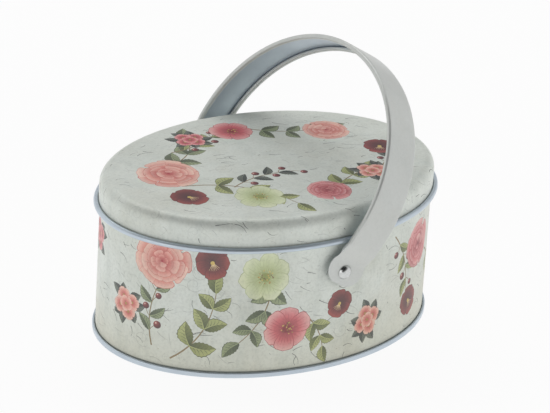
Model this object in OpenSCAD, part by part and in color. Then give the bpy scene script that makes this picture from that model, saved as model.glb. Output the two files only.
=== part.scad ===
// Oval tin with a slip-over lid and a swinging strap handle.
// Millimetres, +Z up, origin at the middle of the base, +X along the long side.

/* [Tin body] */
// Length over the body wall
body_length = 144; // [110:1:180]
// Width over the body wall
body_width = 106; // [80:1:130]
// Thickness of the tinplate
sheet = 0.3; // [0.2:0.05:0.4]
// Diameter of the curl round the mouth
mouth_curl_d = 2.2; // [1.6:0.1:3]
// Height of the double seam at the base
seam_h = 2.2; // [1.8:0.1:4]
// Gap between the folded layers of the seam
fold_gap = 0.1; // [0.05:0.01:0.15]
// Height of the base panel above the table
base_rise = 2.6; // [1.5:0.1:5]

/* [Lid] */
// Height from the table to the top of the closed lid
closed_height = 66.7; // [50:0.1:90]
// Height of the lid from the curl to the top
lid_depth = 12.75; // [10:0.25:20]
// Outer radius of the shoulder
shoulder_r = 4.5; // [2.5:0.1:6]
// Diameter of the curl round the lid's edge
lid_curl_d = 2.3; // [1.8:0.1:3]
// Gap between the lid's skirt and the body wall
lid_gap = 0.2; // [0.1:0.05:0.4]
// Gap between the lid's shoulder and the mouth of the body
seat_gap = 0.15; // [0.1:0.05:0.4]

/* [Handle] */
// Drop of the pivots below the lid's curl
pivot_drop = 13.5; // [12.5:0.1:20]
// Width of the strap
strap_w = 15.6; // [12:0.1:17]
// Width and depth of the folded hem along each edge of the strap
hem_d = 2; // [1:0.1:2.6]
// Gap between the strap and the lid's curl where the arch begins
side_clear = 2; // [1.5:0.1:5]
// Gap between the strap and the lid's curl at the top of the jog
jog_clear = 1; // [0.8:0.1:4]
// Height above the pivot of the top of the jog
jog_top = 8; // [7:0.1:14]
// Gap between the top of the arch and the lid's end as it swings past
end_clear = 0.7; // [0.5:0.1:5]
// Rise of the arch above its straight legs
arch_rise = 56.5; // [45:0.5:62]
// Lean of the handle from upright, as it rests
lean = 31.9; // [-100:0.1:100]
// Width of the round ear
ear_w = 18; // [16:0.5:20]
// Height of the round ear
ear_h = 13; // [11:0.5:15]
// Rise of the ear's middle above the pivot
ear_rise = 1.2; // [0:0.1:2]
// Height above the pivot where the strap bends away from the ear
ear_top = 4.6; // [4:0.1:6]

/* [Rivets and washers] */
// Diameter of the rivet's shank
shank_d = 3; // [2:0.1:4]
// Diameter of the rivet's head
rivet_head_d = 6.2; // [5:0.1:8]
// Height of the rivet's head
rivet_head_h = 1.6; // [1:0.1:2.5]
// Diameter of the rivet's set end inside the tin
rivet_tail_d = 5; // [4.4:0.1:7]
// Height of the rivet's set end
rivet_tail_h = 0.9; // [0.6:0.1:1.5]
// Diameter of the washers
washer_d = 9; // [7:0.5:11]
// Thickness of the spacer between the ear and the wall
spacer_t = 1.9; // [1.6:0.1:2.5]
// Thickness of the washer inside the wall
backing_t = 0.5; // [0.3:0.1:1]
// Radial gap round the shank
shank_gap = 0.05; // [0.02:0.01:0.1]
// Gap along the shank on each side of the ear
ear_gap = 0.05; // [0.03:0.01:0.15]
// Gap that keeps a flat washer off the round wall
wall_gap = 0.08; // [0.05:0.01:0.15]

/* [Hidden] */
$fn = 96;
oval_steps = 72;
arch_steps = 48;
ear_steps = 12;
curl_turn = 270;

// Points of an arc
function arc(x, y, r, from, to, steps) =
    [for (i = [0:steps])
        let (a = from + (to - from) * i / steps)
        [x + r * cos(a), y + r * sin(a)]];

// Point of an ellipse, moved out along its normal
function oval_point(half_a, half_b, out, a) =
    let (n = [half_b * cos(a), half_a * sin(a)])
    [half_a * cos(a), half_b * sin(a)] + out * n / norm(n);

half_l = body_length / 2;
half_w = body_width / 2;

// Layers of the seam, as distances out from the wall's outer face
end_hook_in = fold_gap;
end_hook_out = end_hook_in + sheet;
body_hook_in = end_hook_out + fold_gap;
body_hook_out = body_hook_in + sheet;
seam_in = body_hook_out + fold_gap;
seam_out = seam_in + sheet;
chuck_out = -sheet - fold_gap;
chuck_in = chuck_out - sheet;
flange_z = sheet + fold_gap;
hook_top = seam_h - sheet - fold_gap;
hook_foot = flange_z + sheet + fold_gap;

// Lid
skirt_in = lid_gap;
skirt_out = skirt_in + sheet;
lid_curl_r = lid_curl_d / 2;
lid_curl_x = skirt_in + lid_curl_r;
lid_curl_z = closed_height - lid_depth + lid_curl_r;
pivot_z = lid_curl_z - pivot_drop;
shoulder_x = skirt_out - shoulder_r;
shoulder_z = closed_height - shoulder_r;

// The mouth curl stands just inside the lid's shoulder
mouth_curl_r = mouth_curl_d / 2;
seat_run = shoulder_r - sheet - mouth_curl_r - seat_gap;
seat_x = -mouth_curl_r - shoulder_x;
mouth_curl_z = shoulder_z + sqrt(max(0, seat_run * seat_run - seat_x * seat_x));

// Stack along each pivot, as distances from the middle of the tin
washer_r = washer_d / 2;
hole_r = shank_d / 2 + shank_gap;
side_r = half_l * half_l / half_w;
wall_sag = side_r - sqrt(side_r * side_r - washer_r * washer_r);
spacer_y = half_w + wall_gap;
ear_in = spacer_y + spacer_t + ear_gap;
ear_out = ear_in + sheet;
head_y = ear_out + ear_gap;
backing_out = half_w - sheet - wall_sag - wall_gap;
backing_in = backing_out - backing_t;

// Handle, as distances from the pivot
shoulder_reach = norm([half_l + shoulder_x, shoulder_z - pivot_z]) + shoulder_r;
curl_reach = norm([half_l + lid_curl_x, lid_curl_z - pivot_z]) + lid_curl_r;
arch_reach = max(shoulder_reach, curl_reach) + end_clear + hem_d;
arch_half = half_w + lid_gap + lid_curl_d + side_clear + hem_d;
jog_half = half_w + lid_gap + lid_curl_d + jog_clear + hem_d;
arch_start = arch_reach - arch_rise;
ear_r = ear_h / 2;
ear_side = ear_w / 2 - ear_r;

paint = "#d9ddd0";
bare = "#9aa3aa";
bright = "#c8ccd0";

// Section of the body wall: hook, wall and mouth curl, as [distance out, height]
wall_section = concat(
    [[body_hook_out, hook_top], [body_hook_out, flange_z], [-sheet, flange_z]],
    arc(-mouth_curl_r, mouth_curl_z, mouth_curl_r - sheet, 0, curl_turn, 6),
    arc(-mouth_curl_r, mouth_curl_z, mouth_curl_r, curl_turn, 0, 9),
    [[0, flange_z + sheet], [body_hook_in, flange_z + sheet], [body_hook_in, hook_top]]
);

// Section of the base from its middle outwards and back: panel, chuck wall and seam
base_section = [
    [chuck_out, base_rise + sheet],
    [chuck_out, sheet],
    [seam_in, sheet],
    [seam_in, seam_h - sheet],
    [end_hook_out, seam_h - sheet],
    [end_hook_out, hook_foot],
    [end_hook_in, hook_foot],
    [end_hook_in, seam_h],
    [seam_out - sheet, seam_h],
    [seam_out, seam_h - sheet],
    [seam_out, sheet],
    [seam_out - sheet, 0],
    [chuck_in + sheet, 0],
    [chuck_in, sheet],
    [chuck_in, base_rise]
];

// Section of the lid from its middle outwards and back: top, shoulder, skirt and curl
lid_section = concat(
    arc(shoulder_x, shoulder_z, shoulder_r, 90, 0, 6),
    arc(lid_curl_x, lid_curl_z, lid_curl_r - sheet, 180, 180 + curl_turn, 6),
    arc(lid_curl_x, lid_curl_z, lid_curl_r, 180 + curl_turn, 180, 9),
    arc(shoulder_x, shoulder_z, shoulder_r - sheet, 0, 90, 4)
);

// Rectangle between two corners
module box2(x0, y0, x1, y1) {
    translate([x0, y0])
        square([x1 - x0, y1 - y0]);
}

// Section swept round the tin, either as a ring or closed across its middle
module oval_sweep(section, closed) {
    rows = len(section);
    points = concat(
        [for (p = section)
            for (j = [0:oval_steps - 1])
                concat(oval_point(half_l, half_w, p[0], 360 * j / oval_steps), p[1])],
        [[0, 0, section[0][1]], [0, 0, section[rows - 1][1]]]
    );
    first_middle = rows * oval_steps;
    function at(i, j) = (i % rows) * oval_steps + j % oval_steps;
    walls = [
        for (i = [0:closed ? rows - 2 : rows - 1])
            for (j = [0:oval_steps - 1])
                for (face = [
                    [at(i, j), at(i, j + 1), at(i + 1, j + 1)],
                    [at(i, j), at(i + 1, j + 1), at(i + 1, j)]
                ])
                    face
    ];
    middles = [
        for (j = [0:oval_steps - 1])
            for (face = [
                [first_middle, at(0, j + 1), at(0, j)],
                [at(rows - 1, j), at(rows - 1, j + 1), first_middle + 1]
            ])
                face
    ];
    polyhedron(points = closed ? points : [for (i = [0:first_middle - 1]) points[i]],
        faces = closed ? concat(walls, middles) : walls);
}

// Cylinder along the pivot, from one distance to another
module pivot_rod(r, y0, y1) {
    translate([0, y1, pivot_z])
        rotate([90, 0, 0])
            cylinder(h = y1 - y0, r = r);
}

// Washer on the pivot
module pivot_washer(y0, t) {
    difference() {
        pivot_rod(washer_r, y0, y0 + t);
        pivot_rod(hole_r, y0 - 1, y0 + t + 1);
    }
}

// Area under the strap, its edge moved in by a distance
module arch_area(in) {
    polygon(concat(
        [for (i = [0:arch_steps])
            [0, arch_start] + oval_point(arch_half, arch_rise, -in, 180 * i / arch_steps)],
        [[in - jog_half, jog_top], [in - ear_out, ear_top], [ear_out - in, ear_top], [jog_half - in, jog_top]]
    ));
}

// Band along the strap between two depths, above a height and between two places across its width
module strap_band(d0, d1, foot, x0, x1) {
    translate([x0, 0, 0])
        rotate([90, 0, 90])
            linear_extrude(height = x1 - x0)
                difference() {
                    arch_area(d0);
                    arch_area(d1);
                    box2(-arch_half, 0, arch_half, foot);
                }
}

// Flat ear at one end of the strap
module ear() {
    translate([0, ear_out, 0])
        rotate([90, 0, 0])
            linear_extrude(height = sheet)
                difference() {
                    union() {
                        polygon(concat(
                            arc(ear_side, ear_rise, ear_r, -90, 90, ear_steps),
                            arc(-ear_side, ear_rise, ear_r, 90, 270, ear_steps)
                        ));
                        box2(hem_d - strap_w / 2, 0, strap_w / 2 - hem_d, ear_top + sheet);
                    }
                    circle(hole_r);
                    box2(-ear_w, ear_top + sheet, ear_w, ear_rise + ear_h);
                }
}

// Sub-parts

module body_wall() {
    color(paint)
        difference() {
            oval_sweep(wall_section, false);
            pivot_rod(hole_r, -half_w - 1, half_w + 1);
        }
}

module base_panel() {
    color(bare)
        oval_sweep(base_section, true);
}

module lid() {
    color(paint)
        oval_sweep(lid_section, true);
}

module handle_strap() {
    edge = strap_w / 2;
    color(paint)
        translate([0, 0, pivot_z])
            rotate([0, lean, 0]) {
                strap_band(0, sheet, ear_top + sheet / 2, -edge, edge);
                for (side = [0, 1]) {
                    mirror([side, 0, 0]) {
                        strap_band(0, hem_d, jog_top, edge - sheet, edge);
                        strap_band(hem_d - sheet, hem_d, jog_top, edge - hem_d, edge);
                    }
                    mirror([0, side, 0])
                        ear();
                }
            }
}

module rivet() {
    dome_r = (rivet_head_d * rivet_head_d / 4 + rivet_head_h * rivet_head_h) / (2 * rivet_head_h);
    color(bright) {
        intersection() {
            translate([0, head_y + rivet_head_h - dome_r, pivot_z])
                sphere(dome_r);
            pivot_rod(dome_r, head_y, head_y + 2 * rivet_head_h);
        }
        pivot_rod(shank_d / 2, backing_in - rivet_tail_h / 2, head_y + rivet_head_h / 2);
        pivot_rod(rivet_tail_d / 2, backing_in - rivet_tail_h, backing_in);
    }
}

module spacer_washer() {
    color(bright)
        pivot_washer(spacer_y, spacer_t);
}

module backing_washer() {
    color(bright)
        pivot_washer(backing_in, backing_t);
}

module rear_rivet() {
    rivet();
}

module front_rivet() {
    mirror([0, 1, 0])
        rivet();
}

module rear_spacer() {
    spacer_washer();
}

module front_spacer() {
    mirror([0, 1, 0])
        spacer_washer();
}

module rear_backing() {
    backing_washer();
}

module front_backing() {
    mirror([0, 1, 0])
        backing_washer();
}

body_wall();
base_panel();
lid();
handle_strap();
front_rivet();
rear_rivet();
front_spacer();
rear_spacer();
front_backing();
rear_backing();
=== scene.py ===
import math
import random
from collections import namedtuple

import bmesh
import bpy
import numpy as np
from mathutils import Matrix, Vector
from mathutils.geometry import delaunay_2d_cdt


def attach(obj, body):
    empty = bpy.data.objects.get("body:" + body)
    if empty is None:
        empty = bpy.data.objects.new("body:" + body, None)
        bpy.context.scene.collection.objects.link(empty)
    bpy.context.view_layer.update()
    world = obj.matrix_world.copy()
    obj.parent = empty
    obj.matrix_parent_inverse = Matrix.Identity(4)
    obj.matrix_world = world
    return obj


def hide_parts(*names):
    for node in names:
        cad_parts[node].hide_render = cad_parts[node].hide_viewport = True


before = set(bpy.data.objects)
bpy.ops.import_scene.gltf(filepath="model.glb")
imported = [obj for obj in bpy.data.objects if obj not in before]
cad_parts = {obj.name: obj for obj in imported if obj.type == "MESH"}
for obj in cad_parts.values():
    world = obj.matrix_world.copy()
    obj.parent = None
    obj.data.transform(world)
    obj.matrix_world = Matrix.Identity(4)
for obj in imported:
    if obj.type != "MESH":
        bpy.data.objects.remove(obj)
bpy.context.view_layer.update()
SEED = 11
rng = random.Random(SEED)

# Sizes in millimetres that the part's source also has
MM = 0.001
HALF_L = 72.0
HALF_W = 53.0
SHEET = 0.3
FOLD_GAP = 0.1
SEAM_H = 2.2
SEAM_OUT = 1.2
BASE_RISE = 2.6
CLOSED_HEIGHT = 66.7
LID_DEPTH = 12.75
SHOULDER_R = 4.5
LID_CURL_R = 1.15
LID_GAP = 0.2
MOUTH_CURL_R = 1.1
SEAT_GAP = 0.15
PIVOT_Z = 41.6
STRAP_HALF = 7.8
HEM_D = 2.0
EAR_OUT = 55.33
EAR_SIDE = 2.5
EAR_R = 6.5
EAR_RISE = 1.2
JOG_HALF = 58.5
ARCH_HALF = 59.5
ARCH_RISE = 56.5
ARCH_START = 21.93
LEAN = math.radians(31.9)
BACKING_IN = 52.02
HEAD_Y = 55.38
HEAD_H = 1.6
SHANK_R = 1.5
TAIL_R = 2.5
TAIL_H = 0.9

# Sizes of the finer shapes, in millimetres or as shares
WALL_LOW = 1.2
# Top of the painted shade band in the crevice where the wall meets the seam
CREVICE_SHADE_TOP = 2.55
SEAM_BEND = 0.45
HEM_BEND = 0.75
HEM_SLOT = 0.3
HEM_FOOT = 5.6
HEM_RUNOUT = 2.4
HEM_EASE = 0.05
EAR_TOP = 3.3
EAR_NECK = 3
JOG_TOP = 11.3
HEAD_R = 2.95
HEAD_BEVEL = 0.12
DOME = 3.2
DOME_SHARES = (0.96, 0.01)
TAIL_BEVEL = 0.35
DISH_DEPTH = 0.12
DISH_MIDDLE = 0.15
DISH_SHARE = 0.6
FLAT_SHARE = 0.8

# Steps of the meshes, and turns in degrees
RUN_STEPS = 4097
COLUMNS = 240
WALL_ROWS = 12
MOUTH_INNER_STEPS = 9
MOUTH_OUTER_STEPS = 12
MOUTH_TURN = 270
SEAM_STEPS = 5
CURL_TURN = 300
CURL_INNER_STEPS = 16
CURL_OUTER_STEPS = 22
SHOULDER_INNER_STEPS = 10
SHOULDER_ROWS = 15
SKIRT_ROWS = (2, 4)
LID_RINGS = (0.95, 0.85, 0.7, 0.5, 0.3)
EAR_STEPS = 13
NECK_STEPS = 6
JOG_STEPS = 19
LEG_STEPS = 9
ARCH_STEPS = 61
FACE_STEPS = 15
HEM_OUTER = 15
BEND_STEPS = 4
BORE_STEPS = 3
RIVET_STEPS = 48
DOME_STEPS = 14

# Mesh tools: weld in metres, kind and tolerance of a cut, sharp angles in degrees
WELD = 3e-7
CUT_KIND = 0
CUT_TOLERANCE = 1e-4
SHARP_SHEET = 40
SHARP_SMALL = 50

# Places that follow from the sizes
CHUCK_OUT = -SHEET - FOLD_GAP
CHUCK_IN = CHUCK_OUT - SHEET
SKIRT_OUT = LID_GAP + SHEET
SHOULDER_X = SKIRT_OUT - SHOULDER_R
SHOULDER_Z = CLOSED_HEIGHT - SHOULDER_R
SHOULDER_RUN = SHOULDER_R * math.pi / 2
LID_CURL_X = LID_GAP + LID_CURL_R
LID_CURL_Z = CLOSED_HEIGHT - LID_DEPTH + LID_CURL_R
SEAT_RUN = SHOULDER_R - SHEET - MOUTH_CURL_R - SEAT_GAP
MOUTH_CURL_Z = SHOULDER_Z + math.sqrt(SEAT_RUN ** 2 - (-MOUTH_CURL_R - SHOULDER_X) ** 2)

# Distance round the wall, from the end of the oval on +X
FULL_TURN = 2 * math.pi
TURN = np.linspace(0, FULL_TURN, RUN_STEPS)
RIM = np.stack([HALF_L * np.cos(TURN), HALF_W * np.sin(TURN)], 1)
RUN = np.concatenate([[0], np.cumsum(np.linalg.norm(np.diff(RIM, axis=0), axis=1))])
GIRTH = RUN[-1]
BLOCK = GIRTH / 2
STATIONS = np.arange(COLUMNS) * GIRTH / COLUMNS
EDGE = np.append(STATIONS, GIRTH)

# The sRGB curve
SRGB_WHITE = 255
SRGB_KNEE = 0.04045
SRGB_SLOPE = 12.92
SRGB_OFFSET = 0.055
SRGB_POWER = 2.4


def rim(s, out, z):
    """Points at a distance round the wall, moved out from it, at a height, and their outward normals."""
    a = np.interp(s, RUN, TURN)
    n = np.stack([HALF_W * np.cos(a), HALF_L * np.sin(a)], -1)
    n /= np.linalg.norm(n, axis=-1, keepdims=True)
    x = HALF_L * np.cos(a) + out * n[..., 0]
    y = HALF_W * np.sin(a) + out * n[..., 1]
    return np.stack([x, y, np.broadcast_to(z, x.shape)], -1), n


def arc(x, z, r, start, stop, steps):
    """Points of an arc in degrees."""
    a = np.radians(np.linspace(start, stop, steps + 1))
    return [(x + r * math.cos(t), z + r * math.sin(t)) for t in a]


def band(low, high):
    """Outline of a band round the wall between two heights."""
    return [(s, low) for s in EDGE] + [(s, high) for s in EDGE[::-1]]


def tube(rows, around):
    """Faces between the rows of a tube, each row a closed ring of points."""
    faces = []
    for i in range(rows - 1):
        a = i * around
        b = a + around
        for j in range(around):
            k = (j + 1) % around
            faces.append((a + j, b + j, b + k, a + k))
    return faces


def srgb(r, g, b):
    """Linear colour from 8-bit sRGB."""
    c = np.array([r, g, b], float) / SRGB_WHITE
    curve = ((c + SRGB_OFFSET) / (1 + SRGB_OFFSET)) ** SRGB_POWER
    return np.where(c <= SRGB_KNEE, c / SRGB_SLOPE, curve)


def mix(a, b, t):
    """Colour or number between two."""
    return a + (b - a) * t


def smooth(t):
    """Share that starts and ends gently."""
    return t * t * (3 - 2 * t)


def jitter(size):
    """Random number either side of nought."""
    return rng.uniform(-size, size)


def handed():
    """Random side."""
    return rng.choice((-1, 1))


class Shell:
    """Collects the faces of one piece, with a material, colours and normals for each face corner."""

    def __init__(self, tone):
        self.tone = tone
        self.points = []
        self.faces = []
        self.slots = []
        self.colours = []
        self.normals = []
        self.count = 0

    def add(self, points, faces, slot, colours=None, normals=None):
        """Adds faces, with colours or in the shell's tone, and with normals or smooth."""
        self.points.append(np.asarray(points, float))
        for i, f in enumerate(faces):
            self.faces.append([v + self.count for v in f])
            self.slots.append(slot)
            self.colours.append(colours[i] if colours is not None else [self.tone] * len(f))
            self.normals.append([normals[v] for v in f] if normals is not None else [(0, 0, 0)] * len(f))
        self.count += len(points)

    def sweep(self, section, slot):
        """Sweeps a section of (distance out, height), run clockwise, round the oval."""
        rows = [rim(STATIONS, o, z)[0] for o, z in section]
        self.add(np.concatenate(rows), tube(len(section), COLUMNS), slot)

    def disc(self, out, z, slot, up):
        """Closes the middle of the oval with a fan."""
        ring = rim(STATIONS, out, z)[0]
        points = np.concatenate([ring, [[0, 0, z]]])
        faces = [(j, (j + 1) % COLUMNS, COLUMNS) for j in range(COLUMNS)]
        if not up:
            faces = [f[::-1] for f in faces]
        self.add(points, faces, slot)

    def make(self, name, materials, sharp):
        """Makes the object, welded and smooth up to an angle in degrees."""
        mesh = bpy.data.meshes.new(name)
        mesh.from_pydata((np.concatenate(self.points) * MM).tolist(), [], self.faces)
        flat = np.array([c for f in self.colours for c in f], np.float32)
        rgba = np.ones((len(flat), 4), np.float32)
        rgba[:, :3] = flat
        mesh.attributes.new("print", "FLOAT_COLOR", "CORNER").data.foreach_set("color", rgba.ravel())
        flat = np.array([n for f in self.normals for n in f], np.float32)
        mesh.attributes.new("given", "FLOAT_VECTOR", "CORNER").data.foreach_set("vector", flat.ravel())
        for m in materials:
            mesh.materials.append(m)
        mesh.polygons.foreach_set("material_index", np.array(self.slots, np.int32))
        bm = bmesh.new()
        bm.from_mesh(mesh)
        bmesh.ops.remove_doubles(bm, verts=bm.verts, dist=WELD)
        bm.to_mesh(mesh)
        bm.free()
        mesh.shade_smooth()
        mesh.set_sharp_from_angle(angle=math.radians(sharp))
        corner = np.zeros(len(mesh.loops) * 3, np.float32)
        mesh.corner_normals.foreach_get("vector", corner)
        given = np.zeros(len(mesh.loops) * 3, np.float32)
        mesh.attributes["given"].data.foreach_get("vector", given)
        corner = corner.reshape(-1, 3)
        given = given.reshape(-1, 3)
        use = given.any(axis=1)
        corner[use] = given[use]
        mesh.attributes.remove(mesh.attributes["given"])
        mesh.normals_split_custom_set(corner.tolist())
        obj = bpy.data.objects.new(name, mesh)
        bpy.context.scene.collection.objects.link(obj)
        return obj


class Drawing:
    """Flat outlines in paint order, each with a colour or a function that gives the colour at points."""

    def __init__(self, veil):
        self.veil = veil
        self.outlines = []
        self.colours = []

    def add(self, outline, colour):
        """Adds an outline, turned anticlockwise."""
        p = np.asarray(outline, float)
        twice = np.dot(p[:, 0], np.roll(p[:, 1], -1)) - np.dot(p[:, 1], np.roll(p[:, 0], -1))
        self.outlines.append(p if twice > 0 else p[::-1])
        self.colours.append(colour)

    def triangulate(self, border, inner):
        """Cuts the area within a border along all the outlines: points, triangles and corner colours."""
        rings = [np.asarray(border, float)] + self.outlines
        faces = []
        count = 0
        for ring in rings:
            faces.append(list(range(count, count + len(ring))))
            count += len(ring)
        flat = np.concatenate(rings + [np.asarray(inner, float)])
        places = [Vector(p) for p in flat.tolist()]
        cut = delaunay_2d_cdt(places, [], faces, CUT_KIND, CUT_TOLERANCE, True)
        found, _, triangles, _, _, sources = cut
        points = np.array([v[:] for v in found])
        inside = [k for k, f in enumerate(sources) if 0 in f]
        corners = np.array([triangles[k] for k in inside])
        owner = np.array([max(sources[k]) for k in inside])
        colours = np.empty((len(corners), 3, 3))
        colours[:] = GROUND
        for k in np.unique(owner):
            if k == 0:
                continue
            mine = owner == k
            colour = self.colours[k - 1]
            if callable(colour):
                colours[mine] = colour(points[corners[mine]].reshape(-1, 2)).reshape(-1, 3, 3)
            else:
                colours[mine] = colour
        colours = mix(colours, GROUND, self.veil)
        return points, corners.tolist(), colours


# Tones, light to deep where there are three
GROUND = srgb(219, 224, 217)
STRAP_TONE = srgb(203, 206, 203)
# Painted shade for the crevice between the wall and the seam
CREVICE_SHADE = srgb(160, 168, 169)
CORAL = (srgb(244, 216, 200), srgb(230, 150, 136), srgb(178, 44, 58))
PINK = (srgb(238, 190, 186), srgb(214, 104, 112), srgb(140, 26, 48))
PALE = (srgb(226, 230, 200), srgb(204, 214, 168), srgb(146, 156, 84))
OLIVE = (srgb(186, 192, 128), srgb(134, 142, 86), srgb(70, 78, 46))
MOSS = (srgb(158, 170, 130), srgb(108, 120, 88), srgb(58, 68, 50))
SLATE = (srgb(112, 120, 108), srgb(66, 74, 68), srgb(36, 42, 42))
WINE = (srgb(176, 78, 70), srgb(116, 36, 44), srgb(62, 20, 30))
GOLD = (srgb(216, 186, 98), srgb(176, 140, 70), srgb(120, 80, 50))
TWIG = srgb(142, 122, 84)
HAIR = srgb(84, 86, 84)
EYE_RAY = srgb(226, 196, 150)
BERRY_SHINE = srgb(232, 200, 190)

# Values that the motifs share
ANY_TURN = (0, 6)
DOT_STEPS = 14
SMALL_DOT_STEPS = 8
TINY_DOT_STEPS = 6
CURVE_STEPS = 10
TINY = 1e-9


def turned(points, x, y, angle):
    """Points turned by an angle and moved."""
    p = np.asarray(points, float)
    c = math.cos(angle)
    s = math.sin(angle)
    return np.stack([x + p[:, 0] * c - p[:, 1] * s, y + p[:, 0] * s + p[:, 1] * c], 1)


def ribbon(points, start, stop):
    """Outline of a stroke along points, its width going from start to stop."""
    p = np.asarray(points, float)
    t = np.gradient(p, axis=0)
    t /= np.linalg.norm(t, axis=1, keepdims=True) + TINY
    n = np.stack([-t[:, 1], t[:, 0]], 1)
    w = np.linspace(start, stop, len(p))[:, None] / 2
    return np.concatenate([p + n * w, (p - n * w)[::-1]])


def bend(x0, y0, x1, y1, bow, steps=CURVE_STEPS):
    """Points of a curve between two places, bowed to its left."""
    t = np.linspace(0, 1, steps + 1)
    dx = x1 - x0
    dy = y1 - y0
    k = bow * 4 * t * (1 - t)
    return np.stack([x0 + dx * t - dy * k, y0 + dy * t + dx * k], 1)


def fade(x, y, near, far, tones):
    """Colour that runs through three tones between two distances from a place."""
    def colour(p):
        t = np.clip((np.hypot(p[:, 0] - x, p[:, 1] - y) - near) / (far - near), 0, 1)[:, None] * 2
        return np.where(t < 1, mix(tones[0], tones[1], t), mix(tones[1], tones[2], t - 1))
    return colour


def dot(d, x, y, r, colour, steps=DOT_STEPS):
    """Round spot."""
    a = np.linspace(0, FULL_TURN, steps, endpoint=False)
    d.add(np.stack([x + r * np.cos(a), y + r * np.sin(a)], 1), colour)


# Leaf: outline, shadow, veins and shares of its tones
LEAF_POINTS = 15
LEAF_TOOTH = 0.06
LEAF_SKEW = 0.85
LEAF_FULLNESS = 0.9
LEAF_BOW = 0.09
LEAF_SHADOW = (1.02, 1.1)
LEAF_SHADOW_DARK = 0.7
LEAF_SUN = 0.3
LEAF_SHADE = 0.4
VEIN_PLACES = range(2, 12, 2)
VEIN_CLIMB = 2
VEIN_REACH = 0.85
VEIN_BOW = 0.08
VEIN_STEPS = 2
VEIN_WIDTH = (0.26, 0.08)
VEIN_DARK = 0.85
SPINE_WIDTH = (0.45, 0.12)
SPINE_DARK = 0.12


def leaf(d, x, y, angle, length, width, tones):
    """Toothed, veined leaf from its foot at a place."""
    light, mid, dark = tones
    t = np.linspace(0, 1, LEAF_POINTS)
    tooth = 1 + LEAF_TOOTH * np.where(np.arange(LEAF_POINTS) % 2, 1, -1)
    half = width / 2 * np.sin(math.pi * t ** LEAF_SKEW) ** LEAF_FULLNESS * tooth
    bow = LEAF_BOW * length * np.sin(math.pi * t) * handed()
    upper = np.stack([length * t, bow + half], 1)
    lower = np.stack([length * t, bow - half], 1)
    spine = np.stack([length * t, bow], 1)
    shadow = np.concatenate([upper, lower[-2:0:-1]]) * LEAF_SHADOW
    d.add(turned(shadow, x, y, angle), mix(mid, dark, LEAF_SHADOW_DARK))
    bright = (mid, mix(light, mid, LEAF_SUN), light)
    dim = (dark, mix(mid, dark, LEAF_SHADE), mid)
    sides = [(upper, bright), (lower, dim)]
    if rng.random() < 0.5:
        sides = [(upper, dim), (lower, bright)]
    for line, run in sides:
        d.add(turned(np.concatenate([spine, line[-2:0:-1]]), x, y, angle), fade(x, y, 0, length, run))
    for k in VEIN_PLACES:
        for line, curve in ((upper, -VEIN_BOW), (lower, VEIN_BOW)):
            end = mix(spine[k + VEIN_CLIMB], line[k + VEIN_CLIMB], VEIN_REACH)
            vein = bend(*spine[k], *end, curve, VEIN_STEPS)
            d.add(turned(ribbon(vein, *VEIN_WIDTH), x, y, angle), mix(mid, dark, VEIN_DARK))
    d.add(turned(ribbon(spine, *SPINE_WIDTH), x, y, angle), mix(light, dark, SPINE_DARK))


# Petal: outline, shadow, streaks and shares of its tones
PETAL_POINTS = 11
SMALL_PETAL_POINTS = 7
SMALL_PETAL = 4.5
PETAL_WAVE = 0.03
PETAL_FOOT = 0.4
PETAL_ROUND = 5
PETAL_SHADOW = (1.02, 1.07)
PETAL_SHADOW_DEEP = (0.2, 0.7)
PETAL_RIM = (0, 0.3)
STREAK_START = 0.1
STREAK_END = (0.55, 0.85)
STREAK_NEAR = 0.35
STREAK_FAR = 0.75
STREAK_BOW = 0.05
STREAK_STEPS = 2
STREAK_WIDTH = (0.3, 0.07)
STREAK_DEEP = (0.1, 0.6)


def petal(d, x, y, angle, start, stop, width, tones, streaks):
    """Petal between two distances from the middle of a flower, deep at its foot and pale at its rim."""
    light, mid, deep = tones
    t = np.linspace(0, 1, PETAL_POINTS if stop > SMALL_PETAL else SMALL_PETAL_POINTS)
    wave = np.array([jitter(PETAL_WAVE) for k in t])
    swell = PETAL_FOOT + (1 - PETAL_FOOT) * np.sin(math.pi * t / 2)
    half = width / 2 * swell * np.sqrt(1 - t ** PETAL_ROUND) * (1 + wave)
    run = mix(start, stop, t + wave * t)
    outline = np.concatenate([np.stack([run, half], 1), np.stack([run, -half], 1)[-2::-1]])
    d.add(turned(outline * PETAL_SHADOW, x, y, angle), mix(mid, deep, rng.uniform(*PETAL_SHADOW_DEEP)))
    pale = mix(light, mid, rng.uniform(*PETAL_RIM))
    d.add(turned(outline, x, y, angle), fade(x, y, start, stop, (deep, mid, pale)))
    for k in range(streaks):
        a = (k + 0.5) / streaks - 0.5
        near = mix(start, stop, STREAK_START)
        far = mix(start, stop, rng.uniform(*STREAK_END))
        line = bend(near, width * STREAK_NEAR * a, far, width * STREAK_FAR * a, STREAK_BOW * a, STREAK_STEPS)
        d.add(turned(ribbon(line, *STREAK_WIDTH), x, y, angle), mix(mid, deep, rng.uniform(*STREAK_DEEP)))


STAMEN_R = 0.3


def stamens(d, x, y, r, count):
    """Golden specks scattered within a radius."""
    for k in range(count):
        a = rng.uniform(0, FULL_TURN)
        q = r * math.sqrt(rng.random())
        dot(d, x + q * math.cos(a), y + q * math.sin(a), STAMEN_R, GOLD[k % len(GOLD)], TINY_DOT_STEPS)


# Single flower: shares of its radius
OPEN_JITTER = 0.08
OPEN_START = 0.1
OPEN_REACH = (0.9, 1.02)
OPEN_WIDTH = 5.6
OPEN_STREAKS = 5
OPEN_EYE = 0.17
OPEN_STAMENS = 26
OPEN_STAMEN_REACH = 0.3


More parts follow.
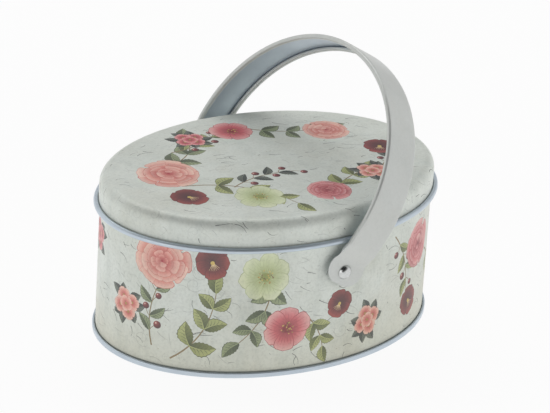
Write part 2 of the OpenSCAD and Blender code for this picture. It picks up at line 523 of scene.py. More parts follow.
def open_flower(d, x, y, r, count, tones):
    """Single flower, seen from the front, with stamens."""
    start = rng.uniform(*ANY_TURN)
    for k in list(range(0, count, 2)) + list(range(1, count, 2)):
        a = start + FULL_TURN * k / count + jitter(OPEN_JITTER)
        reach = r * rng.uniform(*OPEN_REACH)
        petal(d, x, y, a, r * OPEN_START, reach, r * OPEN_WIDTH / count, tones, OPEN_STREAKS)
    dot(d, x, y, r * OPEN_EYE, tones[2])
    stamens(d, x, y, r * OPEN_STAMEN_REACH, OPEN_STAMENS)


# Double flower: rings of petals from the rim inward, as start, reach, count and width of the petals
FULL_RINGS = (
    (0.55, 1.0, 8, 0.86),
    (0.4, 0.8, 7, 0.72),
    (0.26, 0.6, 6, 0.58),
    (0.12, 0.42, 5, 0.42),
    (0.02, 0.24, 4, 0.26),
)
FULL_BASE = 0.7
FULL_BASE_DEEP = 0.4
FULL_LIGHT_STEP = 0.18
FULL_MID_STEP = 0.12
FULL_DEEP_START = 0.45
FULL_DEEP_STEP = 0.13
FULL_JITTER = 0.14
FULL_SHADE = 0.2
FULL_SHADE_MOST = 0.75
FULL_REACH = (0.92, 1.05)
FULL_STREAKS = 3
FULL_EYE = 0.05


def full_flower(d, x, y, r, tones):
    """Double flower of many close petals."""
    light, mid, deep = tones
    dot(d, x, y, r * FULL_BASE, mix(mid, deep, FULL_BASE_DEEP))
    for i, (near, far, count, wide) in enumerate(FULL_RINGS):
        start = rng.uniform(*ANY_TURN)
        foot = mix(mid, deep, FULL_DEEP_START + FULL_DEEP_STEP * i)
        run = (mix(light, mid, FULL_LIGHT_STEP * i), mix(mid, deep, FULL_MID_STEP * i), foot)
        for k in range(count):
            a = start + FULL_TURN * k / count + jitter(FULL_JITTER)
            shade = rng.gauss(0, FULL_SHADE)
            side = light if shade < 0 else deep
            tinted = [mix(c, side, min(FULL_SHADE_MOST, abs(shade))) for c in run]
            reach = r * far * rng.uniform(*FULL_REACH)
            petal(d, x, y, a, r * near, reach, r * wide, tinted, FULL_STREAKS)
    dot(d, x, y, r * FULL_EYE, deep, SMALL_DOT_STEPS)


# Small dark flower: its petals as angle, reach, width and share of the deeper tone, and its eye
VIOLA_DOWN = -1.57
VIOLA_PETALS = (
    (0.9, 1, 1.2, 0.5),
    (2.24, 1, 1.2, 0.5),
    (-0.25, 0.95, 1, 0.2),
    (3.39, 0.95, 1, 0.2),
    (VIOLA_DOWN, 1, 1.35, 0),
)
VIOLA_START = 0.08
VIOLA_DEEP = 0.6
VIOLA_STREAKS = 5
VIOLA_RAYS = 7
VIOLA_RAY_TURN = 0.22
VIOLA_RAY_REACH = 0.5
VIOLA_RAY_BOW = 0.02
VIOLA_RAY_STEPS = 3
VIOLA_RAY_WIDTH = (0.3, 0.1)
VIOLA_EYE = 0.12
VIOLA_EYE_STEPS = 10


def viola(d, x, y, r, angle):
    """Small dark flower of five uneven petals with a pale eye."""
    light, mid, deep = WINE
    for a, far, wide, tone in VIOLA_PETALS:
        run = (mix(light, mid, tone), mix(mid, deep, tone * VIOLA_DEEP), deep)
        petal(d, x, y, angle + a, r * VIOLA_START, r * far, r * wide, run, VIOLA_STREAKS)
    reach = r * VIOLA_RAY_REACH
    for k in range(VIOLA_RAYS):
        a = angle + VIOLA_DOWN + VIOLA_RAY_TURN * (k - VIOLA_RAYS // 2)
        ray = bend(x, y, x + reach * math.cos(a), y + reach * math.sin(a), VIOLA_RAY_BOW, VIOLA_RAY_STEPS)
        d.add(ribbon(ray, *VIOLA_RAY_WIDTH), EYE_RAY)
    dot(d, x, y, r * VIOLA_EYE, GOLD[0], VIOLA_EYE_STEPS)


# Little blossom: shares of its radius
SMALL_PETALS = 5
SMALL_START = 0.1
SMALL_WIDTH = 1.05
SMALL_STREAKS = 2
SMALL_EYE = 0.18


def small_flower(d, x, y, r, tones):
    """Little five-petalled blossom."""
    start = rng.uniform(*ANY_TURN)
    for k in range(SMALL_PETALS):
        a = start + FULL_TURN * k / SMALL_PETALS
        petal(d, x, y, a, r * SMALL_START, r, r * SMALL_WIDTH, tones, SMALL_STREAKS)
    dot(d, x, y, r * SMALL_EYE, GOLD[1], SMALL_DOT_STEPS)


# Twig with berries: shares of its length, and the berries' sizes
SPRIG_BOW = 0.1
SPRIG_WIDTH = (0.6, 0.3)
SPRIG_PLACES = (2, 4, 6, 8, 10)
SPRIG_LEAF_TURN = 0.8
SPRIG_LEAF = (0.27, 0.12)
STALK_LENGTH = 0.15
STALK_TURN = (0.5, 0.9)
STALK_BOW = 0.1
STALK_STEPS = 4
STALK_WIDTH = (0.3, 0.2)
BERRY_R = (1.3, 1.7)
BERRY_LIGHT = 0.4
BERRY_FADE = 1.5
SHINE_ASIDE = 0.35
SHINE_R = 0.22


def berry_sprig(d, x, y, angle, length, leaves):
    """Twig with berries and a few leaves."""
    end = turned([(length, 0)], x, y, angle)[0]
    stem = bend(x, y, *end, handed() * SPRIG_BOW)
    d.add(ribbon(stem, *SPRIG_WIDTH), TWIG)
    for k, i in enumerate(SPRIG_PLACES):
        side = 1 if k % 2 else -1
        p = stem[i]
        if i < CURVE_STEPS:
            long, wide = SPRIG_LEAF
            leaf(d, *p, angle - side * SPRIG_LEAF_TURN, length * long, length * wide, leaves)
        q = turned([(length * STALK_LENGTH, 0)], *p, angle + side * rng.uniform(*STALK_TURN))[0]
        d.add(ribbon(bend(*p, *q, STALK_BOW, STALK_STEPS), *STALK_WIDTH), TWIG)
        r = rng.uniform(*BERRY_R)
        lit = r * BERRY_LIGHT
        dot(d, *q, r, fade(q[0] - lit, q[1] + lit, 0, r * BERRY_FADE, WINE))
        dot(d, q[0] - r * SHINE_ASIDE, q[1] + lit, r * SHINE_R, BERRY_SHINE, TINY_DOT_STEPS)


# Leafy stem: points to each pair of leaves, and shares of the leaves' size
STEM_PITCH = 3
STEM_TIP = 2
STEM_WIDTH = (0.7, 0.3)
STEM_SHRINK = 0.1
STEM_LEAF_TURN = (0.7, 1.0)
STEM_LEAF_WIDTH = 0.56
TIP_LEAF = (0.95, 0.52)


def leafy_stem(d, x0, y0, x1, y1, bow, pairs, size, tones):
    """Curved stem with leaves in pairs and one at its tip."""
    stem = bend(x0, y0, x1, y1, bow, STEM_PITCH * pairs + STEM_TIP)
    d.add(ribbon(stem, *STEM_WIDTH), TWIG)
    for k in range(pairs):
        i = STEM_PITCH * (k + 1)
        t = stem[i + 1] - stem[i - 1]
        a = math.atan2(t[1], t[0])
        grow = size * (1 - STEM_SHRINK * k)
        for side in (-1, 1):
            leaf(d, *stem[i], a + side * rng.uniform(*STEM_LEAF_TURN), grow, grow * STEM_LEAF_WIDTH, tones)
    t = stem[-1] - stem[-2]
    long, wide = TIP_LEAF
    leaf(d, *stem[-1], math.atan2(t[1], t[0]), size * long, size * wide, tones)


# Bunch: its leaves and blossoms, in millimetres and radians
POSY_LEAVES = 7
POSY_JITTER = 0.25
POSY_LEAF_START = 3
POSY_LEAF_LENGTH = (5.5, 7.5)
POSY_LEAF_WIDTH = 3.8
POSY_BLOSSOMS = 4
POSY_TURN = 0.4
POSY_RING = 3.4
POSY_OUTER_R = 3.6
POSY_MIDDLE_R = 3.4


def posy(d, x, y, tones):
    """Small bunch: blossoms over dark leaves."""
    for k in range(POSY_LEAVES):
        a = FULL_TURN * k / POSY_LEAVES + jitter(POSY_JITTER)
        foot = (x + POSY_LEAF_START * math.cos(a), y + POSY_LEAF_START * math.sin(a))
        leaf(d, *foot, a, rng.uniform(*POSY_LEAF_LENGTH), POSY_LEAF_WIDTH, SLATE)
    for k in range(POSY_BLOSSOMS):
        a = FULL_TURN * k / POSY_BLOSSOMS + POSY_TURN
        small_flower(d, x + POSY_RING * math.cos(a), y + POSY_RING * math.sin(a), POSY_OUTER_R, tones)
    small_flower(d, x, y, POSY_MIDDLE_R, tones)


TENDRIL_POINTS = 18
TENDRIL_TURN = 8.5
TENDRIL_WIND = 0.85
TENDRIL_WIDTH = (0.32, 0.16)
TENDRIL_TONE = (0.1, 0.22)


def tendril(d, x, y, angle, size, inside):
    """Faint curled hairline."""
    t = np.linspace(0, 1, TENDRIL_POINTS)
    a = t * TENDRIL_TURN * handed()
    r = size * (1 - TENDRIL_WIND * t)
    line = turned(np.stack([r * np.cos(a), r * np.sin(a)], 1), x, y, angle)
    if inside(line):
        d.add(ribbon(line, *TENDRIL_WIDTH), mix(GROUND, HAIR, rng.uniform(*TENDRIL_TONE)))


# Old paper: hairs, every fourth of them long and every third dark, flecks and tendrils
HAIR_TURN = (-0.4, 0.5)
HAIR_LENGTH = (1, 6)
LONG_EVERY = 4
LONG_LENGTH = (3, 8)
HAIR_BOW = 0.2
HAIR_STEPS = 4
HAIR_WIDTH = (0.2, 0.36)
HAIR_TAPER = 0.4
HAIR_TONE = (0.12, 0.4)
DARK_EVERY = 3
DARK_TONE = 0.9
FLECK_SHARE = 0.5
FLECK_R = (0.08, 0.28)
FLECK_TONE = (0.15, 0.5)
TENDRIL_SHARE = 0.12
TENDRIL_SIZE = (1.5, 4)


def age(d, inside, x0, x1, y0, y1, share):
    """Hairs, flecks and tendrils of old paper, so many for each square millimetre."""
    room = (x1 - x0) * (y1 - y0)
    for k in range(int(room * share)):
        x = rng.uniform(x0, x1)
        y = rng.uniform(y0, y1)
        a = rng.gauss(*HAIR_TURN)
        length = rng.uniform(*(HAIR_LENGTH if k % LONG_EVERY else LONG_LENGTH))
        line = bend(x, y, x + length * math.cos(a), y + length * math.sin(a), jitter(HAIR_BOW), HAIR_STEPS)
        if inside(line):
            w = rng.uniform(*HAIR_WIDTH)
            tone = rng.uniform(*HAIR_TONE) if k % DARK_EVERY else DARK_TONE
            d.add(ribbon(line, w, w * HAIR_TAPER), mix(GROUND, HAIR, tone))
    for k in range(int(room * share * FLECK_SHARE)):
        x = rng.uniform(x0, x1)
        y = rng.uniform(y0, y1)
        r = rng.uniform(*FLECK_R)
        if inside(np.array([(x - r, y - r), (x + r, y + r)])):
            dot(d, x, y, r, mix(GROUND, TWIG, rng.uniform(*FLECK_TONE)), TINY_DOT_STEPS)
    for k in range(int(room * share * TENDRIL_SHARE)):
        x = rng.uniform(x0, x1)
        y = rng.uniform(y0, y1)
        tendril(d, x, y, rng.uniform(*ANY_TURN), rng.uniform(*TENDRIL_SIZE), inside)


def within(x0, x1, y0, y1):
    """Test for points that all lie in a rectangle."""
    def inside(p):
        across = p[:, 0].min() > x0 and p[:, 0].max() < x1
        return across and p[:, 1].min() > y0 and p[:, 1].max() < y1
    return inside


# Wall print: motif, its places as distance along the wall and height, and the motif's own values
WALL_VEIL = 0.1
WALL_HAIRS = 0.03
WALL_HAIR_LOW = 2
WALL_HAIR_HIGH = 61
BLOCK_EDGE = 0.5
WALL_MOTIFS = (
    (posy, (9, 24), (CORAL,)),
    (leafy_stem, (30, 6, 47, 36), (-0.12, 3, 10.5, OLIVE)),
    (berry_sprig, (22, 10), (1.45, 30, MOSS)),
    (full_flower, (25, 47), (11.5, CORAL)),
    (viola, (45, 49), (7, 0.3)),
    (leafy_stem, (68, 48, 57, 15), (0.14, 3, 9.5, MOSS)),
    (leafy_stem, (82, 26, 92, 10), (0.1, 2, 8, OLIVE)),
    (open_flower, (66, 43), (10.5, 7, PALE)),
    (open_flower, (76, 20), (10, 6, PINK)),
    (viola, (99, 27), (6, -0.5)),
    (posy, (114, 16), (CORAL,)),
    (berry_sprig, (128, 48), (-1.2, 30, OLIVE)),
    (full_flower, (148, 38), (10.5, PINK)),
    (leafy_stem, (158, 32, 172, 10), (0.12, 3, 8, OLIVE)),
    (viola, (142, 15), (6.5, 0.6)),
    (posy, (182, 44), (PINK,)),
)

# Lid print: motif, its places from the middle of the lid, and the motif's own values
LID_VEIL = 0.0
LID_HAIRS = 0.024
LID_HAIR_EDGE = 1
LID_HAIR_X = 68
LID_HAIR_Y = 49
LID_MOTIFS = (
    (leafy_stem, (-44, -4, -12, -38), (0.16, 3, 10, OLIVE)),
    (leafy_stem, (-44, 14, -16, 36), (-0.16, 3, 10, MOSS)),
    (leafy_stem, (6, -36, 40, -22), (0.1, 3, 9, OLIVE)),
    (leafy_stem, (8, 37, 42, 20), (-0.12, 3, 9, MOSS)),
    (berry_sprig, (-30, 26), (0.35, 30, OLIVE)),
    (berry_sprig, (34, -26), (0.85, 26, SLATE)),
    (berry_sprig, (-26, -14), (0.1, 30, SLATE)),
    (full_flower, (-42, 9), (12.5, CORAL)),
    (viola, (-47, -14), (7.5, 0.4)),
    (open_flower, (-22, -26), (10.5, 7, PALE)),
    (full_flower, (6, -33), (9, PINK)),
    (posy, (33, -25), (CORAL,)),
    (viola, (50, -6), (7, -0.6)),
    (open_flower, (4, 34), (9.5, 6, PINK)),
    (posy, (-16, 34), (PINK,)),
    (full_flower, (40, 18), (9.5, CORAL)),
)
SKIRT_HAIRS = 0.034
SKIRT_END = 1
SKIRT_EDGE = 0.2


def wall_drawing():
    """Two repeats of one run of flowers round the wall, over a painted shade line in the crevice along the
    seam.
    """
    d = Drawing(WALL_VEIL)
    # Painted shade in the crevice where the wall meets the seam
    d.add(band(WALL_LOW, CREVICE_SHADE_TOP), CREVICE_SHADE)
    for s in (0, BLOCK):
        inside = within(s + BLOCK_EDGE, s + BLOCK - BLOCK_EDGE, WALL_HAIR_LOW, WALL_HAIR_HIGH)
        age(d, inside, s, s + BLOCK, WALL_HAIR_LOW, WALL_HAIR_HIGH, WALL_HAIRS)
        for motif, places, values in WALL_MOTIFS:
            moved = [v if k % 2 else s + v for k, v in enumerate(places)]
            motif(d, *moved, *values)
    return d


def lid_drawing():
    """One loose wreath of flowers over the flat of the lid."""
    d = Drawing(LID_VEIL)
    reach = np.array([HALF_L + SHOULDER_X - LID_HAIR_EDGE, HALF_W + SHOULDER_X - LID_HAIR_EDGE])

    def inside(p):
        return (np.linalg.norm(p / reach, axis=1) < 1).all()

    age(d, inside, -LID_HAIR_X, LID_HAIR_X, -LID_HAIR_Y, LID_HAIR_Y, LID_HAIRS)
    for motif, places, values in LID_MOTIFS:
        motif(d, *places, *values)
    return d


def skirt_drawing(depth):
    """Hairs on the shoulder and skirt of the lid, down to a depth along the sheet."""
    d = Drawing(LID_VEIL)
    inside = within(-math.inf, GIRTH - SKIRT_END, SKIRT_EDGE - depth, -SKIRT_EDGE)
    age(d, inside, SKIRT_END, GIRTH - SKIRT_END, -depth, 0, SKIRT_HAIRS)
    return d


# Node helpers
WHITE = (1, 1, 1, 1)


def material(name):
    """New material, its node tree and its shader."""
    m = bpy.data.materials.new(name)
    m.use_nodes = True
    return m, m.node_tree, m.node_tree.nodes["Principled BSDF"]


def noise(tree, coords, scale, detail, rough):
    """Value of a noise at coordinates."""
    n = tree.nodes.new("ShaderNodeTexNoise")
    n.inputs["Scale"].default_value = scale
    n.inputs["Detail"].default_value = detail
    n.inputs["Roughness"].default_value = rough
    tree.links.new(coords, n.inputs["Vector"])
    return n.outputs["Fac"]


def remap(tree, value, low, high, start, stop):
    """Value that goes from start to stop while another goes from low to high."""
    n = tree.nodes.new("ShaderNodeMapRange")
    n.inputs["From Min"].default_value = low
    n.inputs["From Max"].default_value = high
    n.inputs["To Min"].default_value = start
    n.inputs["To Max"].default_value = stop
    tree.links.new(value, n.inputs["Value"])
    return n.outputs["Result"]


def tint(tree, factor, base, colour, blend):
    """Colour blended over another by a factor."""
    n = tree.nodes.new("ShaderNodeMix")
    n.data_type = "RGBA"
    n.blend_type = blend
    tree.links.new(factor, n.inputs["Factor"])
    tree.links.new(base, n.inputs["A"])
    n.inputs["B"].default_value = (*colour, 1)
    return n.outputs["Result"]


def bump(tree, height, strength, distance):
    """Normal bent by a height."""
    n = tree.nodes.new("ShaderNodeBump")
    n.inputs["Strength"].default_value = strength
    n.inputs["Distance"].default_value = distance
    tree.links.new(height, n.inputs["Height"])
    return n.outputs["Normal"]


def cosine(tree, direction, towards):
    """Cosine between a direction and a fixed one."""
    n = tree.nodes.new("ShaderNodeVectorMath")
    n.operation = "DOT_PRODUCT"
    n.inputs[1].default_value = towards
    tree.links.new(direction, n.inputs[0])
    return n.outputs["Value"]


def product(tree, value):
    """Node that multiplies a value by its second input."""
    n = tree.nodes.new("ShaderNodeMath")
    n.operation = "MULTIPLY"
    tree.links.new(value, n.inputs[0])
    return n


def backdrop(tree):
    """White background shader."""
    n = tree.nodes.new("ShaderNodeBackground")
    n.inputs["Color"].default_value = WHITE
    return n


def blended(tree, first, second):
    """Node that mixes two shaders by its factor."""
    n = tree.nodes.new("ShaderNodeMixShader")
    tree.links.new(first, n.inputs[1])
    tree.links.new(second, n.inputs[2])
    return n


# Layers that wear the print: scale, detail and roughness of a noise, its range that shows, depth and colour
Layer = namedtuple("Layer", "scale detail rough low high depth colour")
WEAR = {
    "cloud": Layer(45, 8, 0.7, low=0.42, high=0.66, depth=0.7, colour=srgb(220, 219, 210)),
    "streak": Layer(150, 5, 0.65, low=0.48, high=0.7, depth=0.6, colour=srgb(216, 222, 224)),
    "stain": Layer(17, 4, 0.6, low=0.5, high=0.72, depth=0.8, colour=srgb(236, 226, 212)),
    "grain": Layer(900, 3, 0.6, low=0.45, high=0.72, depth=0.4, colour=srgb(176, 180, 176)),
}
STREAK_STRETCH = (1, 1, 0.15)
FOOT_TONE = srgb(234, 226, 206)
FOOT_HIGH = 0.026
FOOT_LOW = 0.002
ROUGH_RANGE = (0.3, 0.7)
ROUGH_SPREAD = 0.1
COAT = 0.15
COAT_ROUGH = 0.35
GRAIN_STRENGTH = 0.05
GRAIN_DISTANCE = 0.0002
PLAIN_ROUGH = 0.6
DULL_HIGH = 0.8


def print_material(name, wear, foot, metal, rough):
    """Printed tinplate: the drawn colours under a worn, semi-gloss lacquer, browner towards its foot."""
    m, tree, shader = material(name)
    coords = tree.nodes.new("ShaderNodeTexCoord").outputs["Object"]
    drawn = tree.nodes.new("ShaderNodeAttribute")
    drawn.attribute_name = "print"
    stretch = tree.nodes.new("ShaderNodeMapping")
    stretch.inputs["Scale"].default_value = STREAK_STRETCH
    tree.links.new(coords, stretch.inputs["Vector"])
    place = tree.nodes.new("ShaderNodeSeparateXYZ")
    tree.links.new(coords, place.inputs[0])
    colour = drawn.outputs["Color"]
    values = {}
    for key, layer in WEAR.items():
        source = stretch.outputs[0] if key == "streak" else coords
        values[key] = noise(tree, source, layer.scale, layer.detail, layer.rough)
        amount = remap(tree, values[key], layer.low, layer.high, 0, layer.depth * wear)
        colour = tint(tree, amount, colour, layer.colour, "MULTIPLY")
    amount = remap(tree, place.outputs["Z"], FOOT_HIGH, FOOT_LOW, 0, foot)
    colour = tint(tree, amount, colour, FOOT_TONE, "MULTIPLY")
    roughness = remap(tree, values["stain"], *ROUGH_RANGE, rough, rough + ROUGH_SPREAD)
    normal = bump(tree, values["grain"], GRAIN_STRENGTH * wear, GRAIN_DISTANCE)
    tree.links.new(colour, shader.inputs["Base Color"])
    tree.links.new(roughness, shader.inputs["Roughness"])
    tree.links.new(normal, shader.inputs["Normal"])
    shader.inputs["Metallic"].default_value = metal
    shader.inputs["Coat Weight"].default_value = COAT
    shader.inputs["Coat Roughness"].default_value = COAT_ROUGH
    return m


def plain_material(name, tone, dull, dull_low, dull_depth, metal, rough, cloud, grain, relief):
    """Unprinted metal: cloud and grain are scale and detail of a noise, relief is strength and distance."""
    m, tree, shader = material(name)
    coords = tree.nodes.new("ShaderNodeTexCoord").outputs["Object"]
    value = noise(tree, coords, *cloud, PLAIN_ROUGH)
    height = noise(tree, coords, *grain, PLAIN_ROUGH)
    base = tree.nodes.new("ShaderNodeRGB")
    base.outputs[0].default_value = (*tone, 1)
    amount = remap(tree, value, dull_low, DULL_HIGH, 0, dull_depth)
    tree.links.new(tint(tree, amount, base.outputs[0], dull, "MIX"), shader.inputs["Base Color"])
    tree.links.new(remap(tree, value, *ROUGH_RANGE, *rough), shader.inputs["Roughness"])
    tree.links.new(bump(tree, height, *relief), shader.inputs["Normal"])
    shader.inputs["Metallic"].default_value = metal
    return m


PRINT_WALL = print_material("printed_wall", wear=0.55, foot=0.5, metal=0.1, rough=0.42)
PRINT_LID = print_material("printed_lid", wear=0.48, foot=0.0, metal=0.2, rough=0.42)
PRINT_STRAP = print_material("printed_strap", wear=0.2, foot=0.0, metal=0.35, rough=0.29)
LACQUER = plain_material(
    "lacquered_tinplate",
    tone=srgb(196, 207, 216),
    dull=srgb(179, 191, 203),
    dull_low=0.4,
    dull_depth=0.5,
    metal=0.6,
    rough=(0.28, 0.4),
    cloud=(120, 4),
    grain=(1500, 2),
    relief=(0.05, 0.0002),
)
STEEL = plain_material(
    "plated_steel",
    tone=srgb(208, 210, 209),
    dull=srgb(170, 172, 173),
    dull_low=0.45,
    dull_depth=0.6,
    metal=1.0,
    rough=(0.2, 0.26),
    cloud=(700, 4),
    grain=(700, 4),
    relief=(0.08, 0.0003),
)


# Pieces
def wall():
    """Wall with its hook in the seam, its mouth curl and the printed face."""
    shell = Shell(GROUND)
    low = SHEET + FOLD_GAP
    hook_top = SEAM_H - SHEET - FOLD_GAP
    hook_in = FOLD_GAP * 2 + SHEET
    hook_out = hook_in + SHEET
    section = [(0, WALL_LOW), (0, low + SHEET), (hook_in, low + SHEET), (hook_in, hook_top)]
    section += [(hook_out, hook_top), (hook_out, low), (-SHEET, low)]
    section += arc(-MOUTH_CURL_R, MOUTH_CURL_Z, MOUTH_CURL_R - SHEET, 0, MOUTH_TURN, MOUTH_INNER_STEPS)
    section += arc(-MOUTH_CURL_R, MOUTH_CURL_Z, MOUTH_CURL_R, MOUTH_TURN, 0, MOUTH_OUTER_STEPS)
    shell.sweep(section, 1)
    heights = np.linspace(WALL_LOW, MOUTH_CURL_Z, WALL_ROWS)[1:-1]
    inner = [(s, z) for z in heights for s in EDGE]
    points, faces, colours = wall_drawing().triangulate(band(WALL_LOW, MOUTH_CURL_Z), inner)
    place, n = rim(points[:, 0], 0.0, points[:, 1])
    shell.add(place, faces, 0, colours, np.column_stack([n, np.zeros(len(n))]))
    return shell.make("tin_wall", [PRINT_WALL, LACQUER], SHARP_SHEET)


def base():
    """Bottom panel, folded round the wall's hook as a double seam."""
    shell = Shell(GROUND)
    seam_in = SEAM_OUT - SHEET
    end_in = FOLD_GAP
    end_out = end_in + SHEET
    foot = 2 * (SHEET + FOLD_GAP)
    r = SEAM_BEND
    section = [(CHUCK_OUT, BASE_RISE + SHEET), (CHUCK_OUT, SHEET), (seam_in, SHEET)]
    section += [(seam_in, SEAM_H - SHEET), (end_out, SEAM_H - SHEET), (end_out, foot), (end_in, foot)]
    section += arc(end_in + r, SEAM_H - r, r, 180, 90, SEAM_STEPS)
    section += arc(SEAM_OUT - r, SEAM_H - r, r, 90, 0, SEAM_STEPS)
    section += arc(SEAM_OUT - r, r, r, 0, -90, SEAM_STEPS)
    section += arc(CHUCK_IN + r, r, r, 270, 180, SEAM_STEPS)
    section += [(CHUCK_IN, BASE_RISE)]
    shell.sweep(section, 0)
    shell.disc(CHUCK_OUT, BASE_RISE + SHEET, 0, True)
    shell.disc(CHUCK_IN, BASE_RISE, 0, False)
    return shell.make("tin_base", [LACQUER], SHARP_SHEET)


def lid():
    """Lid with its curl, the printed flat and the printed shoulder and skirt."""
    shell = Shell(GROUND)
    curl_end = 180 + CURL_TURN
    section = [(SKIRT_OUT, LID_CURL_Z)]
    section += arc(LID_CURL_X, LID_CURL_Z, LID_CURL_R - SHEET, 180, curl_end, CURL_INNER_STEPS)[1:]
    section += arc(LID_CURL_X, LID_CURL_Z, LID_CURL_R, curl_end, 180, CURL_OUTER_STEPS)
    section += arc(SHOULDER_X, SHOULDER_Z, SHOULDER_R - SHEET, 0, 90, SHOULDER_INNER_STEPS)
    shell.sweep(section, 1)
    shell.disc(SHOULDER_X, CLOSED_HEIGHT - SHEET, 1, False)
    ring = rim(STATIONS, SHOULDER_X, 0.0)[0][:, :2]
    inner = np.concatenate([ring * k for k in LID_RINGS])
    points, faces, colours = lid_drawing().triangulate(ring, inner)
    flat = np.column_stack([points, np.full(len(points), CLOSED_HEIGHT)])
    shell.add(flat, faces, 0, colours, np.tile([0, 0, 1.0], (len(points), 1)))
    depth = SHOULDER_RUN + SHOULDER_Z - LID_CURL_Z
    levels = [-v for v in np.linspace(0, SHOULDER_RUN, SHOULDER_ROWS)[1:]]
    levels += [-SHOULDER_RUN - v for v in SKIRT_ROWS]
    inner = [(s, v) for v in levels for s in EDGE]
    points, faces, colours = skirt_drawing(depth).triangulate(band(-depth, 0.0), inner)
    down = -points[:, 1]
    a = math.pi / 2 - np.clip(down / SHOULDER_R, 0, math.pi / 2)
    out = SHOULDER_X + SHOULDER_R * np.cos(a)
    z = SHOULDER_Z + SHOULDER_R * np.sin(a) - np.clip(down - SHOULDER_RUN, 0, None)
    place, n = rim(points[:, 0], out, z)
    normals = np.column_stack([n * np.cos(a)[:, None], np.sin(a)])
    shell.add(place, faces, 0, colours, normals)
    return shell.make("tin_lid", [PRINT_LID, LACQUER], SHARP_SHEET)


def strap_path():
    """Line of the strap from ear to ear, as distance to the side and height above the pivot."""
    half = []
    for a in np.linspace(0, math.pi / 2, EAR_STEPS):
        half.append((EAR_OUT, EAR_RISE - EAR_R * math.cos(a)))
    for h in np.linspace(EAR_RISE, EAR_TOP, NECK_STEPS)[1:]:
        half.append((EAR_OUT, h))
    for u in np.linspace(0, 1, JOG_STEPS)[1:]:
        half.append((mix(EAR_OUT, JOG_HALF, (u + smooth(u)) / 2), mix(EAR_TOP, JOG_TOP, u)))
    for u in np.linspace(0, 1, LEG_STEPS)[1:-1]:
        half.append((mix(JOG_HALF, ARCH_HALF, u), mix(JOG_TOP, ARCH_START, u)))
    for a in np.radians(np.linspace(0, 90, ARCH_STEPS)):
        half.append((ARCH_HALF * math.cos(a), ARCH_START + ARCH_RISE * math.sin(a)))
    half = np.array(half)
    return np.concatenate([half, (half * [-1, 1])[-2::-1]])


def hem(width, roll):
    """One edge of the strap's section, from a flat edge to a rolled hem."""
    edge = SHEET / 2
    bend_x = width - HEM_BEND
    inner_x = width - HEM_D
    back_x = inner_x + HEM_BEND
    low = HEM_BEND - HEM_D
    bore = HEM_BEND - SHEET
    lip = -SHEET - HEM_SLOT
    rolled = arc(bend_x, -HEM_BEND, HEM_BEND, 90, 0, BEND_STEPS)[1:]
    rolled += arc(bend_x, low, HEM_BEND, 0, -90, BEND_STEPS)
    rolled += arc(back_x, low, HEM_BEND, -90, -180, BEND_STEPS)
    rolled += [(inner_x, lip - edge), (inner_x + edge, lip), (inner_x + SHEET, lip - edge)]
    rolled += arc(back_x, low, bore, -180, -90, BORE_STEPS)
    rolled += arc(bend_x, low, bore, -90, 0, BORE_STEPS)
    rolled += arc(bend_x, -HEM_BEND, bore, 0, 90, BORE_STEPS)
    flat = arc(width - edge, -edge, edge, 90, -90, HEM_OUTER)[1:]
    rest = len(rolled) - HEM_OUTER
    flat += [(x, -SHEET) for x in np.linspace(width - edge - HEM_EASE, bend_x, rest)]
    return mix(np.array(flat), np.array(rolled), roll)


def handle():
    """Strap with rolled hems and flat ears, swept along its arch as one strip."""
    path = strap_path()
    tangent = np.gradient(path, axis=0)
    tangent /= np.linalg.norm(tangent, axis=1, keepdims=True)
    out = np.stack([tangent[:, 1], -tangent[:, 0]], 1)
    face = np.linspace(-1, 1, FACE_STEPS)
    rows = []
    for (y, h), n in zip(path, out):
        lobe = EAR_SIDE + math.sqrt(max(0, EAR_R ** 2 - (h - EAR_RISE) ** 2))
        width = max(lobe, STRAP_HALF) if h > EAR_RISE + EAR_NECK else lobe
        roll = smooth(min(1, max(0, (h - HEM_FOOT) / HEM_RUNOUT)))
        side = hem(width, roll)
        top = [(x, 0.0) for x in face * (width - mix(SHEET / 2, HEM_BEND, roll))]
        under = [(x, -SHEET) for x in -face[1:-1] * (width - HEM_BEND)]
        other = (side * [-1, 1])[::-1]
        section = top + side.tolist() + under + other.tolist()
        rows.append([(x, y + d * n[0], h + d * n[1]) for x, d in section])
    rows = np.array(rows)
    x, y, h = rows[..., 0], rows[..., 1], rows[..., 2]
    c = math.cos(LEAN)
    s = math.sin(LEAN)
    rows = np.stack([x * c + h * s, y, PIVOT_Z - x * s + h * c], -1)
    count, around = rows.shape[:2]
    faces = tube(count, around)
    faces.append(tuple(range(around)))
    faces.append(tuple((count - 1) * around + j for j in range(around))[::-1])
    shell = Shell(STRAP_TONE)
    shell.add(rows.reshape(-1, 3), faces, 0)
    outer = len(face) + HEM_OUTER - 1
    per_row = [0 if j < outer or j >= around - HEM_OUTER else 1 for j in range(around)]
    shell.slots = per_row * (count - 1) + [0, 0]
    return shell.make("tin_handle", [PRINT_STRAP, LACQUER], SHARP_SMALL)


